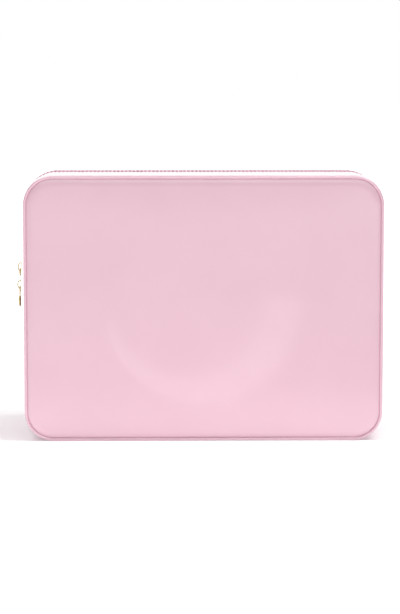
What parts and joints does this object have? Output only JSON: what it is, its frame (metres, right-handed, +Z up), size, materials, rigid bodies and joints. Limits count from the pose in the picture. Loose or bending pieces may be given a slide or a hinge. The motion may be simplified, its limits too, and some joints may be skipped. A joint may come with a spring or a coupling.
{
  "type": "makeup train case",
  "caption": "Padded patent train case on its long side, with piped front and back panels and a two-way zip that lets the front drop down",
  "frame": {"origin": "middle of the base, on the surface the case stands on", "axes": "+X to the right seen from the front, -Y out of the front door, +Z up"},
  "size_m": [0.3202, 0.15, 0.2256],
  "materials": {
    "patent": "glossy patent PU",
    "tape": "woven polyester tape",
    "coil": "nylon zip coil",
    "lining": "plain woven lining",
    "board": "stiffener sheet",
    "foam": "soft padding",
    "gold": "polished light gold plating"
  },
  "bodies": {
    "body": {"back_panel": "patent", "back_piping": "patent", "back_foam": "foam", "back_board": "board", "back_lining": "lining", "back_binding": "tape", "body_gusset": "patent", "body_lining": "lining", "body_left_stiffener": "board", "body_top_stiffener": "board", "body_right_stiffener": "board", "base_board": "board", "hinge_strip": "tape", "body_zip_tape": "tape", "body_zip_coil": "coil", "zip_stop_left": "gold", "zip_stop_right": "gold", "slip_pocket": "lining", "pocket_binding": "tape"},
    "door": {"front_panel": "patent", "front_piping": "patent", "front_foam": "foam", "front_board": "board", "front_lining": "lining", "front_binding": "tape", "door_gusset": "patent", "door_lining": "lining", "door_left_stiffener": "board", "door_top_stiffener": "board", "door_right_stiffener": "board", "door_zip_tape": "tape", "door_zip_coil": "coil", "brush_strap": "tape"},
    "upper_slider": {"upper_slider": "gold"},
    "upper_pull": {"upper_pull": "gold"},
    "lower_slider": {"lower_slider": "gold"},
    "lower_pull": {"lower_pull": "gold"}
  },
  "joints": [
    {"name": "door_hinge", "type": "hinge", "parent": "body", "child": "door", "pos_m": [0, -0.0738, 0.0014], "axis": [1, 0, 0], "range_deg": [0, 90]},
    {"name": "upper_slide", "type": "slide", "parent": "body", "child": "upper_slider", "axis": [0.068, 0, 0.9977], "range_m": [0, 0.049]},
    {"name": "lower_slide", "type": "slide", "parent": "body", "child": "lower_slider", "axis": [0, 0, -1], "range_m": [0, 0.056]},
    {"name": "upper_pull_swing", "type": "hinge", "parent": "upper_slider", "child": "upper_pull", "pos_m": [-0.15976, 0, 0.13835], "axis": [0.9977, 0, -0.068], "range_deg": [-22, 40]},
    {"name": "lower_pull_flip", "type": "hinge", "parent": "lower_slider", "child": "lower_pull", "pos_m": [-0.16005, 0, 0.1248], "axis": [0, 1, 0], "range_deg": [0, 110]}
  ]
}
